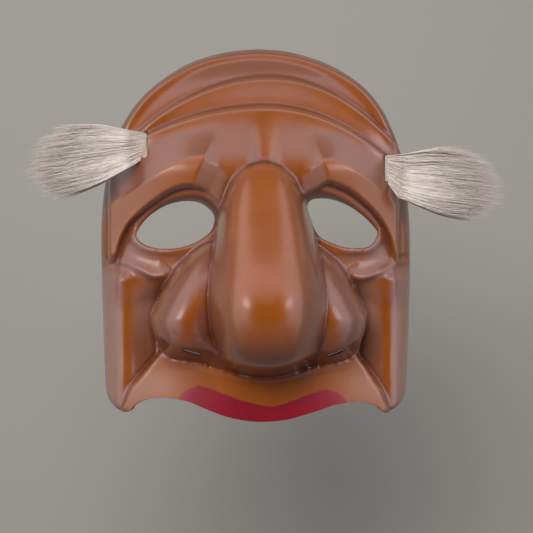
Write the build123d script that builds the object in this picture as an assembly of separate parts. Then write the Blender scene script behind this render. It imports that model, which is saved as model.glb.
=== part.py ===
from build123d import *
import math
import os

# A moulded leather half mask with a tuft of hair at each temple.
# It lies face up on its rim: +X runs across the face, +Y up the face to the crown, and +Z out
# of the face. The rim is in the plane z = 0, under the middle of the face. Millimetres.

os.makedirs("parts", exist_ok=True)

# ---- shell: outline and wall
half_width = 84.0          # middle of the face to the outside of a cheek
crown_y = 100.8            # top of the forehead
temple_y = -12.0           # where the crown's curve meets the straight cheeks
crown_power = 2.35         # fullness of the crown's curve, 2 for an ellipse
jaw_y = -92.5              # lowest point of each jaw tip
jaw_taper = 6.0            # how far each cheek leans in between the temple and the jaw
jaw_tip_width = 11.0       # width of the flat under each jaw tip
jaw_round = 6.0            # radius of each jaw's outer corner
lip_edge_y = -95.0         # middle of the upper lip's free edge
lip_notch_y = -84.0        # where that edge is highest, beside each jaw tip
lip_bow = [                # that edge from a jaw tip inwards: share of the tip's place, share of the notch
    (0.87, 0.89),
    (0.66, 1.0),
    (0.45, 0.73),
    (0.24, 0.25),
]
leather = 2.4              # wall of the moulded leather

# ---- shell: the dome that the features stand on
brow_z = 43.0              # height of the face at the brow
lip_z = 49.0               # height of the face at the lip's free edge
crown_z = 7.0              # height left at the crown's edge
crown_fall_y = 50.4        # where the forehead starts to fall back to the crown
crown_fall_power = 2.2
lip_rise_y = -40.0         # where the face starts to rise from the brow's height to the lip's
dome_margin = 4.0          # half width of the ellipse across the face, past the outside of a cheek
dome_floor_z = -6.0        # middle of that ellipse
dome_least = 0.02          # least share under the ellipse's root, which keeps its edge real
crease_blend = 3.0         # height over which a crease between two forms is rounded

# ---- nose
nose_x = 4.0               # the nose leans this far from the middle of the face
nose_base_z = 34.0
nose_sections = [          # distance up the face, half width, height of the ridge
    (-73.5, 4.0, 48.0),
    (-71.0, 13.5, 62.0),
    (-66.0, 20.0, 76.0),
    (-56.0, 26.0, 91.0),
    (-38.0, 29.0, 100.0),
    (-20.0, 29.0, 95.0),
    (0.0, 25.5, 81.5),
    (18.0, 20.5, 67.0),
    (30.0, 16.0, 56.0),
    (36.0, 11.0, 49.0),
    (40.0, 4.0, 44.0),
]
wing_x = 33.0              # nose's middle to the middle of each wing
wing_y = -41.0
wing_radius = 19.0
wing_rise = 38.0           # reach of a wing towards the brow
wing_drop = 24.0           # reach of a wing towards the lip
wing_lean = 0.36           # how fast the wing closes on the bridge as it rises
wing_height = 32.0         # top of a wing above the nose's base
nostril_x = 36.5           # nose's middle to the middle of each slit
nostril_y = -59.0
nostril_length = 9.0
nostril_width = 2.0
nostril_tilt = 20.0        # degrees

# ---- eyes: the opening's outline, from the middle of the face outwards
eye_outline = [(25.5, 11.5), (27.0, 16.0), (36.5, 18.4), (49.5, 14.6), (59.0, 7.4), (63.6, 0.0),
               (58.6, -5.4), (45.5, -6.8), (33.0, -3.0), (27.0, 3.0)]
eye_edge_z = 38.0          # height of the face beside the opening
socket_slope = 0.35
socket_reach = 9.0

# ---- brows: the middle line of each raised plate, from the nose outwards
brow_line = [(24.0, 32.0), (35.5, 32.0), (46.0, 28.8), (57.0, 22.0), (66.0, 12.0), (72.0, 0.0),
             (75.0, -12.0)]
brow_half_width = 6.5
brow_height = 6.0
edge_blend = 3.0           # half the run of the edge of a raised plate

# ---- forehead folds: middle x, top y, droop per square millimetre, height, groove depth
forehead_folds = [(7.5, 83.5, 0.0069, 2.2, 3.2), (5.0, 67.2, 0.0050, 2.6, 3.6)]
fold_length = 9.0          # how far below its crest a fold fades out
groove_length = 4.5        # how far above the crest the groove fades out
crest_edge = 3.0           # how far the step from a crest into its groove runs
fold_fade = (60.0, 74.0)   # distance across the face over which the folds fade out
furrow_depth = 3.0         # upright furrow over the nose
furrow_width = 6.0
furrow_fade = (42.0, 66.0) # heights up the face between which it fades out

# ---- cheeks
bag_line = [(42.0, -18.0), (48.0, -22.0), (58.0, -21.5), (66.0, -16.5), (76.0, -14.5)]
bag_height = 3.2
bag_reach_up = 5.0
bag_reach_down = 2.5
bag_fade = 0.15            # share of the line over which each end fades out
cheek_inset = 13.0         # cheek ridge from the outside of the cheek
cheek_ridge = 5.0
cheek_spread_out = 9.0     # width of the ridge's outer and inner slopes
cheek_spread_in = 4.5
cheek_top = (-18.0, -28.0) # heights between which the ridge comes in
hollow_inset = 24.5        # middle of the hollow beside the lip from the outside of the cheek
hollow_spread = 7.5
hollow_depth = 7.0
hollow_top = (-18.0, -34.0)
hollow_bottom = (-94.0, -78.0)

# ---- upper lip plate
lip_crease = [(-66.5, -79.5), (-49.6, -60.4), (-24.0, -67.5), (2.0, -73.1), (25.0, -69.0),
              (52.3, -61.9), (66.0, -80.0)]
lip_plate_z = 46.0
lip_plate_bow = 0.0042     # how fast the plate falls away from its middle

# ---- hair tufts: x inset from the edge, y, and the tip's place from the root
tufts = {
    "left": (-1, 19.0, 47.0, (-63.0, -12.0, -7.0)),
    "right": (1, 11.5, 35.0, (62.0, -11.0, -1.0)),
}
slot_height = 14.0
slot_width = 3.2
slot_corner = 0.45         # corner radius, as a share of the slot's width
slot_clearance = 0.3       # between the hair and the slot, all round
hair_lift = 4.5            # middle of the hair above the leather, just outside the slot
hair_sections = [          # share of the tuft's length, width, thickness
    (0.0, 13.0, 5.0),
    (0.2, 20.0, 8.0),
    (0.45, 30.0, 10.5),
    (0.75, 25.0, 8.5),
    (1.0, 8.0, 3.0),
]
hide_margin = 4.0          # how far the skin reaches past its slot
hide_thickness = 1.5
hide_corner = 2.0
glue = 0.2                 # glue line between the skin and the leather

# ---- strap eyelets
eyelet_y = 30.0
eyelet_z = 4.2
eyelet_bore = 1.6          # radii
eyelet_barrel = 2.1
eyelet_flange = 3.0
eyelet_grip = 0.15         # between each flange and the leather, which curves a little
eyelet_flange_thickness = 0.5
eyelet_clearance = 0.05

# ---- how finely the relief is sampled
relief_step = 4.0
fit_scale = 0.01           # heights are fitted this much flatter, which keeps the grid even
fit_tolerance = 0.0001
crown_steps = 20
ball_rings = ((0.5, 6), (0.87, 10))  # share of the radius of the ball under the leather, points round it
sheet_margin = 3.0         # how far the sampled relief reaches past the outline
mouth_margin = 18.0        # the same past the lip's free edge
mouth_cut = 15.0           # how far the inside runs past the lip's free edge
below_z = -1.0             # cuts start under the rim
far_z = 4.0 * brow_z       # and end over the nose
jaw_tip_x = half_width - jaw_taper - jaw_tip_width


def ease(low, high, value):
    """Smooth step: 0 at low, 1 at high."""
    share = min(1.0, max(0.0, (value - low) / (high - low)))
    return share * share * (3.0 - 2.0 * share)


def soft_max(first, second, blend):
    """The larger height, with the crease between the two rounded over."""
    overlap = max(blend - abs(first - second), 0.0) / blend
    return max(first, second) + overlap * overlap * blend / 4.0


def between(stations, place, column):
    """Smooth value of a column of stations, which are sorted by their first number."""
    if place <= stations[0][0]:
        return stations[0][column]
    if place >= stations[-1][0]:
        return stations[-1][column]
    index = max(i for i in range(len(stations) - 1) if stations[i][0] <= place)
    span = stations[index + 1][0] - stations[index][0]
    share = (place - stations[index][0]) / span

    def slope(i):
        low = stations[max(i - 1, 0)]
        high = stations[min(i + 1, len(stations) - 1)]
        return (high[column] - low[column]) / (high[0] - low[0]) * span

    start = stations[index][column]
    end = stations[index + 1][column]
    turn = share * share * (3.0 - 2.0 * share)
    bulge = share * (1.0 - share)
    return start + (end - start) * turn + bulge * ((1.0 - share) * slope(index) - share * slope(index + 1))


def nearest(line, x, y):
    """Distance to a line, the share of its length there, and which side the point is on."""
    best = (1e9, 0.0, 1.0)
    for index in range(len(line) - 1):
        ax, ay = line[index]
        bx, by = line[index + 1]
        dx, dy = bx - ax, by - ay
        along = ((x - ax) * dx + (y - ay) * dy) / (dx * dx + dy * dy)
        along = min(1.0, max(0.0, along))
        gap = math.hypot(x - ax - along * dx, y - ay - along * dy)
        if gap < best[0]:
            side = math.copysign(1.0, dx * (y - ay) - dy * (x - ax))
            best = (gap, (index + along) / (len(line) - 1), side)
    return best


def inside(outline, x, y):
    """True where a point is inside a closed outline."""
    crossings = 0
    for (ax, ay), (bx, by) in zip(outline, outline[1:] + outline[:1]):
        if (ay > y) != (by > y) and x < ax + (y - ay) / (by - ay) * (bx - ax):
            crossings += 1
    return crossings % 2 == 1


# ---- relief of the face
def dome(x, y):
    fall = max(0.0, y - crown_fall_y) / (crown_y - crown_fall_y)
    profile = brow_z - (brow_z - crown_z) * fall ** crown_fall_power
    profile += (lip_z - brow_z) * ease(lip_rise_y, lip_edge_y, y)
    across = math.sqrt(max(dome_least, 1.0 - (x / (half_width + dome_margin)) ** 2))
    return dome_floor_z + (profile - dome_floor_z) * across


def folds(x, y):
    height = 0.0
    for middle, top, droop, rise, groove in forehead_folds:
        above = y - top + droop * (x - middle) ** 2
        fade = 1.0 - ease(*fold_fade, abs(x - middle))
        if above < 0.0:
            height += rise * math.exp(above / fold_length) * fade
        else:
            drop = ease(0.0, crest_edge, above)
            height -= groove * math.exp(-above / groove_length) * fade * drop
            height += rise * (1.0 - drop) * fade
    furrow = math.exp(-(((x - nose_x) / furrow_width) ** 2)) * (1.0 - ease(*furrow_fade, y))
    return height - furrow_depth * furrow


def brow(x, y):
    gap, _, _ = nearest(brow_line, abs(x - nose_x / 2), y)
    return brow_height * (1.0 - ease(brow_half_width - edge_blend, brow_half_width + edge_blend, gap))


def socket(height, x, y):
    gap, _, _ = nearest(eye_outline + eye_outline[:1], abs(x), y)
    if inside(eye_outline, abs(x), y):
        gap = 0.0
    hold = math.exp(-((gap / socket_reach) ** 2))
    return height + (min(height, eye_edge_z + socket_slope * gap) - height) * hold


def bag(x, y):
    gap, along, side = nearest(bag_line, abs(x), y)
    reach = bag_reach_up if side > 0.0 else bag_reach_down
    ends = ease(0.0, bag_fade, along) * ease(0.0, bag_fade, 1.0 - along)
    return bag_height * math.exp(-gap / reach) * ends


def cheek(x, y):
    past_ridge = abs(x) - half_width + cheek_inset
    ridge = past_ridge / (cheek_spread_out if past_ridge > 0.0 else cheek_spread_in)
    hollow = (abs(x) - half_width + hollow_inset) / hollow_spread
    rise = cheek_ridge * math.exp(-ridge * ridge) * ease(*cheek_top, y)
    return rise - hollow_depth * math.exp(-hollow * hollow) * ease(*hollow_top, y) * ease(*hollow_bottom, y)


def lip_plate(height, x, y):
    past = lip_edge_y - mouth_margin
    outline = lip_crease + [(lip_crease[-1][0], past), (lip_crease[0][0], past)]
    gap, _, _ = nearest(lip_crease, x, y)
    depth = gap if inside(outline, x, y) else -gap
    rise = max(0.0, lip_plate_z - lip_plate_bow * x * x - height)
    return height + rise * ease(-edge_blend, edge_blend, depth)


def nose(x, y):
    if y <= nose_sections[0][0] or y >= nose_sections[-1][0]:
        return 0.0
    across = (x - nose_x) / between(nose_sections, y, 1)
    if abs(across) >= 1.0:
        return 0.0
    ridge = between(nose_sections, y, 2)
    return nose_base_z + (ridge - nose_base_z) * math.sqrt(1.0 - across * across)


def wing(x, y):
    lean = wing_lean * max(0.0, y - wing_y)
    across = (abs(x - nose_x / 2) - wing_x - nose_x / 2 + lean) / wing_radius
    along = (y - wing_y) / (wing_rise if y > wing_y else wing_drop)
    round_off = 1.0 - across * across - along * along
    if round_off <= 0.0:
        return 0.0
    return nose_base_z + wing_height * math.sqrt(round_off)


def relief(x, y):
    """Height of the leather's outside over the rim plane."""
    height = dome(x, y) + folds(x, y) + brow(x, y) + bag(x, y) + cheek(x, y)
    height = socket(height, x, y)
    height = lip_plate(height, x, y)
    height = soft_max(height, nose(x, y), crease_blend)
    return soft_max(height, wing(x, y), crease_blend)


def hollowed(wall):
    """Height of the surface one wall under the relief, as a ball of that radius rolls under it."""
    ball = [(0.0, 0.0, wall)]
    for share, count in ball_rings:
        for turn in range(count):
            angle = 2.0 * math.pi * turn / count
            reach = share * wall
            drop = math.sqrt(wall * wall - reach * reach)
            ball.append((reach * math.cos(angle), reach * math.sin(angle), drop))
    return lambda x, y: min(relief(x + dx, y + dy) - drop for dx, dy, drop in ball)


def under(height):
    """Everything under a relief, over a rectangle a little larger than the mask."""
    low = (-half_width - sheet_margin, lip_edge_y - mouth_margin)
    high = (half_width + sheet_margin, crown_y + sheet_margin)
    columns = round((high[0] - low[0]) / relief_step) + 1
    rows = round((high[1] - low[1]) / relief_step) + 1
    points = []
    for i in range(columns):
        x = low[0] + (high[0] - low[0]) * i / (columns - 1)
        line = []
        for j in range(rows):
            y = low[1] + (high[1] - low[1]) * j / (rows - 1)
            line.append(Vector(x, y, height(x, y) * fit_scale))
        points.append(line)
    flat = Face.make_surface_from_array_of_points(points, tol=fit_tolerance, min_deg=3, max_deg=8)
    skin = scale(flat, by=(1, 1, 1 / fit_scale)).faces()[0]
    return Solid.extrude(skin, Vector(0, 0, -far_z))


# ---- outline seen from the front
def side_x(y, inset):
    """Half width of the outline at a height up the face, less an inset."""
    if y < temple_y:
        return half_width - inset - jaw_taper * (temple_y - y) / (temple_y - jaw_y)
    share = min(1.0, (y - temple_y) / (crown_y - inset - temple_y))
    return (half_width - inset) * (1.0 - share ** crown_power) ** (1.0 / crown_power)


def crown_curve(inset):
    """The round top of the outline, from the left temple over the crown to the right one."""
    points = []
    for step in range(crown_steps + 1):
        angle = math.pi * step / crown_steps
        across = -math.cos(angle)
        up = math.sin(angle)
        x = math.copysign(abs(across) ** (2.0 / crown_power), across) * (half_width - inset)
        y = temple_y + up ** (2.0 / crown_power) * (crown_y - inset - temple_y)
        points.append((x, y))
    return Spline(*points, tangents=[(0, 1), (0, -1)])


def plan(inset, mouth_open):
    """Outline as a face. With the mouth open it runs past the lip's free edge."""
    jaw_x = side_x(jaw_y + jaw_round, inset)
    low_y = jaw_y + inset
    bend = jaw_round * (1.0 - math.sqrt(0.5))
    corner = [(jaw_x, low_y + jaw_round), (jaw_x - bend, low_y + bend), (jaw_x - jaw_round, low_y)]
    tip_x = jaw_tip_x - inset if mouth_open else jaw_tip_x
    lines = [crown_curve(inset)]
    for flip in (-1, 1):
        lines.append(Line((flip * (half_width - inset), temple_y), (flip * jaw_x, low_y + jaw_round)))
        lines.append(ThreePointArc(*[(flip * x, y) for x, y in corner]))
        lines.append(Line((flip * (jaw_x - jaw_round), low_y), (flip * tip_x, low_y)))
    if mouth_open:
        past = lip_edge_y - mouth_cut
        lines.append(Polyline((-tip_x, low_y), (-tip_x, past), (tip_x, past), (tip_x, low_y)))
    else:
        rise = lip_notch_y - lip_edge_y
        edge = [(share * jaw_tip_x, lip_edge_y + up * rise) for share, up in lip_bow]
        edge.insert(0, (jaw_tip_x, low_y))
        lines.append(Spline(*[(-x, y) for x, y in edge], (0.0, lip_edge_y), *reversed(edge)))
    return make_face(Wire.combine(lines)[0])


def upright(outline, low_z, high_z):
    """Upright prism over an outline."""
    return extrude(Pos(0, 0, low_z) * outline, amount=high_z - low_z)


# ---- openings through the leather
def eye_opening(flip):
    points = [(flip * x, y) for x, y in eye_outline]
    return upright(make_face(Spline(*points, periodic=True)), below_z, far_z)


def nostril(flip):
    slit = SlotOverall(nostril_length, nostril_width)
    place = Pos(nose_x + flip * nostril_x, nostril_y, 0) * Rot(0, 0, flip * nostril_tilt)
    return upright(place * slit, below_z, far_z)


def slot_place(side):
    flip, inset, y, _ = tufts[side]
    return flip * (side_x(y, 0.0) - inset), y


def slot(side, shrink):
    x, y = slot_place(side)
    width = slot_width - 2 * shrink
    return Pos(x, y) * RectangleRounded(width, slot_height - 2 * shrink, width * slot_corner)


def eyelet_plane(flip):
    """Middle of the wall at an eyelet, with its normal out of the mask."""
    step = 0.5
    x = side_x(eyelet_y, 0.0)
    slope = (side_x(eyelet_y + step, 0.0) - side_x(eyelet_y - step, 0.0)) / (2 * step)
    normal = Vector(flip, -slope, 0).normalized()
    outside = Vector(flip * x, eyelet_y, eyelet_z)
    return Plane(origin=outside - normal * (leather / 2), z_dir=normal)


# ---- pieces
def make_shell():
    outer = under(relief) & upright(plan(0.0, False), 0.0, far_z)
    inner = under(hollowed(leather)) & upright(plan(leather, True), below_z, far_z)
    shell = outer - inner
    for flip in (-1, 1):
        shell -= eye_opening(flip)
        shell -= nostril(flip)
        hole = Cylinder(eyelet_barrel + eyelet_clearance, 3 * leather)
        shell -= eyelet_plane(flip) * hole
    for side in tufts:
        shell -= upright(slot(side, 0.0), below_z, far_z)
    return shell


def make_hide(side):
    """Strip of skin under the slot, moulded to the inside of the leather."""
    x, y = slot_place(side)
    width = slot_width + 2 * hide_margin
    length = slot_height + 2 * hide_margin
    patch = upright(Pos(x, y) * RectangleRounded(width, length, hide_corner), below_z, far_z)
    return (patch & hide_top) - hide_bottom


def make_hair(side):
    """The tuft: a root up through the slot, and a fan that lies outwards over the temple."""
    _, _, _, tip = tufts[side]
    x, y = slot_place(side)
    root_z = max(relief(x, y + dy) for dy in (-slot_height / 2, 0.0, slot_height / 2))
    start = Vector(x, y, root_z + hair_lift)
    run = Vector(*tip)
    sections = []
    for share, width, thickness in hair_sections:
        plane = Plane(origin=start + run * share, x_dir=Vector(0, 1, 0), z_dir=run)
        sections.append(plane * Ellipse(width / 2, thickness / 2))
    fan = loft(sections)
    foot_z = root_z - leather
    root = upright(slot(side, slot_clearance), foot_z, root_z + hair_lift)
    return fan + root


def make_eyelet(flip):
    grip = leather + 2 * eyelet_grip
    barrel = Cylinder(eyelet_barrel, grip)
    seat = grip / 2 + eyelet_flange_thickness / 2
    for end in (-1, 1):
        barrel += Pos(0, 0, end * seat) * Cylinder(eyelet_flange, eyelet_flange_thickness)
    barrel -= Cylinder(eyelet_bore, 3 * leather)
    return eyelet_plane(flip) * barrel


def save(piece, name):
    piece.label = name
    export_step(piece, f"parts/{name}.step")


hide_top = under(hollowed(leather + glue))
hide_bottom = under(hollowed(leather + glue + hide_thickness))
save(make_shell(), "mask_shell")
for side_name, values in tufts.items():
    save(make_hide(side_name), f"tuft_{side_name}_hide")
    save(make_hair(side_name), f"tuft_{side_name}_hair")
    save(make_eyelet(values[0]), f"strap_eyelet_{side_name}")
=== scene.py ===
import math
import random

import bmesh
import bpy
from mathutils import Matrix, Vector


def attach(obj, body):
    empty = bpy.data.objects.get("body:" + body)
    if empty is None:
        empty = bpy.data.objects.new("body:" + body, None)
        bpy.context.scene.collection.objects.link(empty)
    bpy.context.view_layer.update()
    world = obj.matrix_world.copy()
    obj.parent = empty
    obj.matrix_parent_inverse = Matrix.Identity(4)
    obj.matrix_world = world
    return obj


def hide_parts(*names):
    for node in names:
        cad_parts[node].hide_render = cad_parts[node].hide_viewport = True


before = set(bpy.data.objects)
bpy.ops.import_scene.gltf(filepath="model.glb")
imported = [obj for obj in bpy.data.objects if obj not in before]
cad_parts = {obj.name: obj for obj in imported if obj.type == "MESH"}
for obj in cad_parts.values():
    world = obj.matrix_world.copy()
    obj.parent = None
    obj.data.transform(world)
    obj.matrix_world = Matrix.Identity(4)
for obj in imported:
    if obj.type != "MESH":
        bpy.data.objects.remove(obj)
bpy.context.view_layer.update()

# The mask lies face up on its rim: +X across the face, +Y up the face, +Z out of the face.
# The face is laid out in millimetres, like the maker's drawing, and built in metres.
MM = 0.001

# ---- outline of the leather, from the left jaw tip round the crown and back along the lip
LEFT_SIDE = [(-68, -92.5), (-72, -92), (-76, -90), (-80, -84), (-81.3, -70), (-82.6, -45), (-83.6, -20),
             (-83.8, 5), (-82, 25), (-78, 43), (-72, 57.5)]
CROWN = [(-72, 57.5), (-65.5, 68), (-57.2, 77.4), (-46.5, 86), (-35.7, 92.8), (-22, 97.8), (-8, 100.2),
         (5, 100.6), (19, 99), (34.6, 94.1), (48.2, 86.6), (59, 77.9), (67.2, 67.6), (72.5, 57)]
RIGHT_SIDE = [(67.5, -92.5), (71, -92.2), (75.5, -90), (79.5, -85), (81, -74), (82.2, -50), (83.2, -25),
              (83.4, 0), (81.8, 22), (78, 42), (72.5, 57)]
LIP_EDGE = [(-68, -92.5), (-65, -91), (-61.4, -87.4), (-55, -84.6), (-49.4, -84), (-41.5, -84.2),
            (-33.7, -85.7), (-26, -88.7), (-15.8, -92.3), (-5.6, -94.4), (4.6, -95), (14.8, -94.1),
            (22.4, -92.3), (32.7, -89.4), (40.5, -87), (48.5, -86), (55, -86), (61.5, -88), (64.5, -90.6),
            (67.5, -92.5)]
LEATHER = 2.4
WALL_ROWS = 7
EDGE_ROUND = 3.2            # radius where the face turns down into its side walls
LEAST_HEIGHT = 3.5          # the face never comes lower than this over the rim
PLATE_EDGE = 0.8            # half width of the step at the edge of a brow or of the lip
MIDDLE_X = 3.0              # parts the left of the face, side -1, from the right, side 1

# ---- profile of the bare face up its middle: place up the face, height
MIDLINE = [(-110, 51), (-97, 50), (-75, 46.5), (-55, 43), (-25, 41), (0, 41), (20, 44), (32, 46), (39, 45),
           (47, 41.5), (57, 36.3), (67, 30.8), (76, 25.6), (84, 20.4), (93, 13), (100, 7), (108, 3)]
DOME_HALF = 88.0
DOME_FLOOR = -6.0

# ---- openings
EYE_LEFT = [(-63, 0), (-58.6, 7.5), (-51.2, 13.3), (-43.9, 16.5), (-36.3, 17.7), (-29, 16.6),
            (-23.4, 12.4), (-21.6, 7.6), (-24.2, 1.2), (-31.5, -3.9), (-40, -6.6), (-50, -7.1), (-58.6, -4.9)]
EYE_RIGHT = [(64, 0.5), (61.5, 4.9), (56.2, 10), (49.3, 14.7), (41.9, 17.9), (35.5, 19.1), (29, 18.3),
             (26.8, 14.5), (28.6, 8), (32.2, 0), (38, -3.6), (45.1, -6.2), (51.9, -6.9), (59.5, -5.8)]
SLITS = [((-32.4, -59.2), -19, 8.6, 1.0), ((40.4, -59.4), 21, 8.6, 1.0)]
SLOTS = {"left": (-58.0, 47.0, 14.0, 3.0), "right": (68.3, 35.2, 14.5, 3.0)}

# ---- brows: upper line, inner edge and lower crest of each plate
BROWS = {
    -1: ([(-84, -12), (-82, 8), (-74, 18), (-60.2, 25.3), (-45.6, 34), (-35.8, 39), (-26.5, 40.4)],
         [(-26.5, 40.4), (-14.6, 31.2), (-18.6, 17)],
         [(-18.6, 17), (-26, 22.9), (-34.8, 24.9), (-43.3, 22.8), (-51.5, 18), (-60.2, 11.6), (-67.4, 4.4),
          (-72, -5), (-74.5, -15)]),
    1: ([(83, -16), (80.5, 0), (77, 11), (70, 19.5), (61.6, 25.8), (53.8, 31.4), (46, 36), (40, 38.8),
         (34.5, 38.3)],
        [(34.5, 38.3), (23.2, 29.5), (24.6, 19)],
        [(24.6, 19), (35.6, 26.4), (41.2, 25.6), (48.6, 22.4), (56.3, 16.6), (61.6, 11.8), (66.7, 5.4),
         (71, -3), (74, -15)]),
}
BROW_NEAR = 30.0            # the brows don't reach farther than this from their plates
BROW_RISE = 6.0
BROW_SWELL = 10.0
BROW_BLEND = 5.0
BROW_FACETS = {-1: (-26.5, 0.42, 40.4), 1: (34.5, 0.32, 38.3)}
FACET_FALL = 0.45
FACET_DEEP = 4.5

# ---- forehead folds: middle x, top y, droop to the left and right, rise, groove, fade of each
FOLDS = [
    {"middle": 7.5, "top": 83.5, "droop": (0.0060, 0.0080), "rise": 3.6, "groove": 2.0, "length": 6.0},
    {"middle": 5.0, "top": 67.2, "droop": (0.0038, 0.0064), "rise": 4.2, "groove": 2.4, "length": 7.5},
]
GROOVE_LENGTH = 4.2
CREST_EDGE = 1.5
RIM_BEAD = (2.2, 3.2, 2.4)  # rise, distance in from the edge, and width of the crown's rolled rim
FURROW = {"middle": 4.6, "half": 6.2, "depth": 5.0, "top": 64.0, "length": 24.0}

# ---- eye sockets, round each opening
SOCKET_NEAR = 22.0
SOCKET_REACH = 9.0
SOCKET_SLOPES = (0.28, 1.2)  # below the eye, and how much steeper above it
EYE_RIM = 34.5
EYE_RIM_BEND = 0.0042
EYE_RIM_X = 25.0
LID_RISE = 3.0
LID_WIDTH = 3.6
EYE_ROUND = 2.0

# ---- pouches under the eyes
POUCHES = {
    -1: [(-75, -14.2), (-68, -15.4), (-60, -18.6), (-54, -21.4), (-48.5, -21.2), (-44, -18.5)],
    1: [(78, -14), (71, -16.6), (65, -19.4), (58, -22.2), (52, -22.4), (47, -19)],
}
POUCH_NEAR = 16.0
POUCH_RISE = 3.4
POUCH_REACH = (5.5, 1.8)    # above and below the fold

# ---- cheeks: inner and outer edge of the ridge down each side of the face
RIDGES = {-1: (65.6, 71.7), 1: (67.0, 72.7)}
RIDGE_LIFT = 0.68
RIDGE_SOFT = 6.0
RIDGE_SPREAD = 5.0          # how much wider the ridge is at its top
RIDGE_FADE = 7.0
HOLLOW_WIDTH = 12.0
HOLLOW_SLOPES = (0.85, 0.45)  # at the top, and how much steeper at the bottom

# ---- temples: how far out each begins, its top, and how deep both are set back
TEMPLES = {-1: (77.5, 44.0), 1: (74.5, 41.0)}
TEMPLE_DEPTH = 5.0

# ---- lip plate: crease under the nose between the plate's two upper corners
LIP_CREASE = [(-49.6, -60.8), (-44, -64), (-32, -65.4), (-24, -67.6), (-12.7, -71), (2, -73.1), (11.5, -72.7),
              (21.3, -70.2), (29.5, -67.6), (38, -66.8), (47.7, -64.4), (52.3, -62)]
LIP_LEFT = [(-49.6, -60.8), (-57.5, -70), (-65.8, -79.5), (-72, -96)]
LIP_RIGHT = [(52.3, -62), (59, -71), (65.3, -80.2), (71, -96)]

LIP_TOP = -45.0             # the plate and the wall over its crease lie below this
LIP_HEIGHT = 46.5
LIP_KICK = 2.6
LIP_BEND = 0.0030
LIP_TILT = 0.02
LIP_ROLL = (1.0, 2.2)       # rise and width of the roll along the crease
CREASE_WALL = 9.0           # how far the nose takes to rise from the crease
CREASE_POWER = 0.8
CREASE_HALF = 52.0

# ---- nose: place up the face, half width, ridge height
NOSE = [(-73.6, 2.0, 50.0), (-72.4, 9.5, 57.0), (-69.5, 16.5, 69.0), (-64, 22.0, 81.0), (-56, 26.0, 91.0),
        (-47, 28.2, 97.3), (-38, 29.2, 100.0), (-28, 29.2, 98.6), (-15, 27.6, 92.0), (0, 25.4, 81.5),
        (12, 22.6, 72.5), (22, 19.6, 65.0), (28, 16.8, 60.0), (32, 13.6, 56.0), (34.8, 9.6, 52.0),
        (36.8, 2.0, 46.0)]
NOSE_BASE = 36.0
NOSE_X = 3.8
NOSE_DRIFT = 1.8            # how far right the tip is from the top
NOSE_POWERS = (2.8, 0.48)   # squareness of the nose in section
WINGS = {-1: (-34.0, -42.0), 1: (37.0, -42.0)}
WING_HALF = 20.6
WING_UP = 40.0
WING_DOWN = 26.0
WING_TOP = 34.0
WING_SINK = 3.0
WING_POWER = 0.55
WING_LEAN = 0.36
FOOT_SIDES = (-51.0, 54.0)
FOOT_REACH = 9.0
FOOT_RISE = 17.0
FOOT_SIDE_FADE = 12.0
FOOT_LIFT = 2.0
FOOT_BLEND = 12.0
MASS_BLEND = 1.8
NOSE_BLEND = 30.0           # height over which each wing melts into the bridge


# ---- small sums on heights and lines
def ease(low, high, value):
    share = min(1.0, max(0.0, (value - low) / (high - low)))
    return share * share * (3.0 - 2.0 * share)


def soft_max(first, second, blend):
    overlap = max(blend - abs(first - second), 0.0) / blend
    return max(first, second) + overlap * overlap * blend / 4.0


def side_of(x):
    return -1 if x < MIDDLE_X else 1


def rounded(a, b, c, d, t):
    """A place between b and c on the smooth curve through four numbers."""
    square = 2 * a - 5 * b + 4 * c - d
    cube = 3 * b - a - 3 * c + d
    return 0.5 * (2 * b + (c - a) * t + square * t * t + cube * t ** 3)


def smooth_line(points, closed=False, steps=5):
    """Rounded line through the points."""
    count = len(points)
    line = []
    for i in range(count if closed else count - 1):
        if closed:
            before, start, end, after = (points[(i + k) % count] for k in (-1, 0, 1, 2))
        else:
            before, start = points[max(i - 1, 0)], points[i]
            end, after = points[i + 1], points[min(i + 2, count - 1)]
        for step in range(steps):
            t = step / steps
            line.append(tuple(rounded(*four, t) for four in zip(before, start, end, after)))
    if not closed:
        line.append(points[-1])
    return line


class Line:
    """A line across the face that measures how far, how far along, and on which side a point is."""

    def __init__(self, points, closed=False):
        self.points = points + points[:1] if closed else points
        xs = [p[0] for p in points]
        ys = [p[1] for p in points]
        self.box = (min(xs), max(xs), min(ys), max(ys))

    def far(self, x, y, reach):
        low_x, high_x, low_y, high_y = self.box
        return x < low_x - reach or x > high_x + reach or y < low_y - reach or y > high_y + reach

    def measure(self, x, y):
        best = 1e18
        place = 0.0
        side = 1.0
        for i in range(len(self.points) - 1):
            ax, ay = self.points[i]
            bx, by = self.points[i + 1]
            dx = bx - ax
            dy = by - ay
            along = ((x - ax) * dx + (y - ay) * dy) / (dx * dx + dy * dy + 1e-12)
            along = 0.0 if along < 0.0 else 1.0 if along > 1.0 else along
            ex = x - ax - along * dx
            ey = y - ay - along * dy
            gap = ex * ex + ey * ey
            if gap < best:
                best = gap
                place = i + along
                side = 1.0 if dx * (y - ay) - dy * (x - ax) > 0.0 else -1.0
        return math.sqrt(best), place / (len(self.points) - 1), side

    def holds(self, x, y):
        if self.far(x, y, 0.0):
            return False
        inside = False
        for (ax, ay), (bx, by) in zip(self.points, self.points[1:] + self.points[:1]):
            if (ay > y) != (by > y) and x < ax + (y - ay) / (by - ay) * (bx - ax):
                inside = not inside
        return inside

    def depth(self, x, y):
        """Distance from the edge, positive inside."""
        gap = self.measure(x, y)[0]
        return gap if self.holds(x, y) else -gap

    def nearest(self, x, y):
        _, share, _ = self.measure(x, y)
        place = share * (len(self.points) - 1)
        i = min(int(place), len(self.points) - 2)
        ax, ay = self.points[i]
        bx, by = self.points[i + 1]
        return ax + (place - i) * (bx - ax), ay + (place - i) * (by - ay)


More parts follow.
